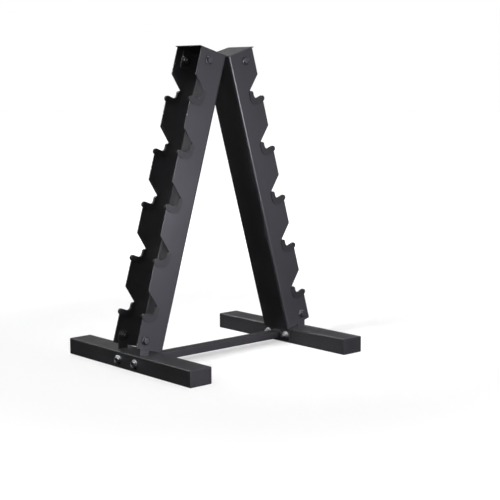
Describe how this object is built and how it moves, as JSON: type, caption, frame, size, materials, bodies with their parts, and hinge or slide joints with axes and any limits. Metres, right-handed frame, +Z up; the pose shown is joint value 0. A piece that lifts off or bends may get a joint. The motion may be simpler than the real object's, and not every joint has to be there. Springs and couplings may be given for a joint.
{
  "type": "dumbbell rack",
  "caption": "Free-standing A-frame dumbbell rack: notched channel columns under a folded bridge, on foot tubes joined by a crossbar.",
  "frame": {"origin": "on the floor, at the middle of the rack", "axes": "+Z up; X across the frame from column to column; Y along the foot tubes, with the front at -Y"},
  "size_m": [0.6126, 0.508, 0.8159],
  "materials": {
    "powder_coat": "satin black powder coat with a fine texture",
    "liner_plastic": "matte black moulded plastic",
    "cap_plastic": "matte black moulded plastic",
    "black_steel": "semi-gloss black",
    "zinc_steel": "bright zinc plate"
  },
  "bodies": {
    "root": {"left_column": "powder_coat", "left_foot_tube": "powder_coat", "left_crossbar_end_plate": "powder_coat", "left_front_liner_1": "liner_plastic", "left_front_liner_2": "liner_plastic", "left_front_liner_3": "liner_plastic", "left_front_liner_4": "liner_plastic", "left_front_liner_5": "liner_plastic", "left_front_foot_tab": "powder_coat", "left_front_foot_cap": "cap_plastic", "left_front_top_bolt": "black_steel", "left_front_top_nut": "black_steel", "left_front_bottom_bolt": "black_steel", "left_front_bottom_nut": "black_steel", "left_front_crossbar_bolt": "zinc_steel", "left_front_crossbar_nut": "zinc_steel", "left_back_liner_1": "liner_plastic", "left_back_liner_2": "liner_plastic", "left_back_liner_3": "liner_plastic", "left_back_liner_4": "liner_plastic", "left_back_liner_5": "liner_plastic", "left_back_foot_tab": "powder_coat", "left_back_foot_cap": "cap_plastic", "left_back_top_bolt": "black_steel", "left_back_top_nut": "black_steel", "left_back_bottom_bolt": "black_steel", "left_back_bottom_nut": "black_steel", "left_back_crossbar_bolt": "zinc_steel", "left_back_crossbar_nut": "zinc_steel", "right_column": "powder_coat", "right_foot_tube": "powder_coat", "right_crossbar_end_plate": "powder_coat", "right_front_liner_1": "liner_plastic", "right_front_liner_2": "liner_plastic", "right_front_liner_3": "liner_plastic", "right_front_liner_4": "liner_plastic", "right_front_liner_5": "liner_plastic", "right_front_foot_tab": "powder_coat", "right_front_foot_cap": "cap_plastic", "right_front_top_bolt": "black_steel", "right_front_top_nut": "black_steel", "right_front_bottom_bolt": "black_steel", "right_front_bottom_nut": "black_steel", "right_front_crossbar_bolt": "zinc_steel", "right_front_crossbar_nut": "zinc_steel", "right_back_liner_1": "liner_plastic", "right_back_liner_2": "liner_plastic", "right_back_liner_3": "liner_plastic", "right_back_liner_4": "liner_plastic", "right_back_liner_5": "liner_plastic", "right_back_foot_tab": "powder_coat", "right_back_foot_cap": "cap_plastic", "right_back_top_bolt": "black_steel", "right_back_top_nut": "black_steel", "right_back_bottom_bolt": "black_steel", "right_back_bottom_nut": "black_steel", "right_back_crossbar_bolt": "zinc_steel", "right_back_crossbar_nut": "zinc_steel", "top_bridge": "powder_coat", "crossbar": "powder_coat"}
  },
  "joints": []
}
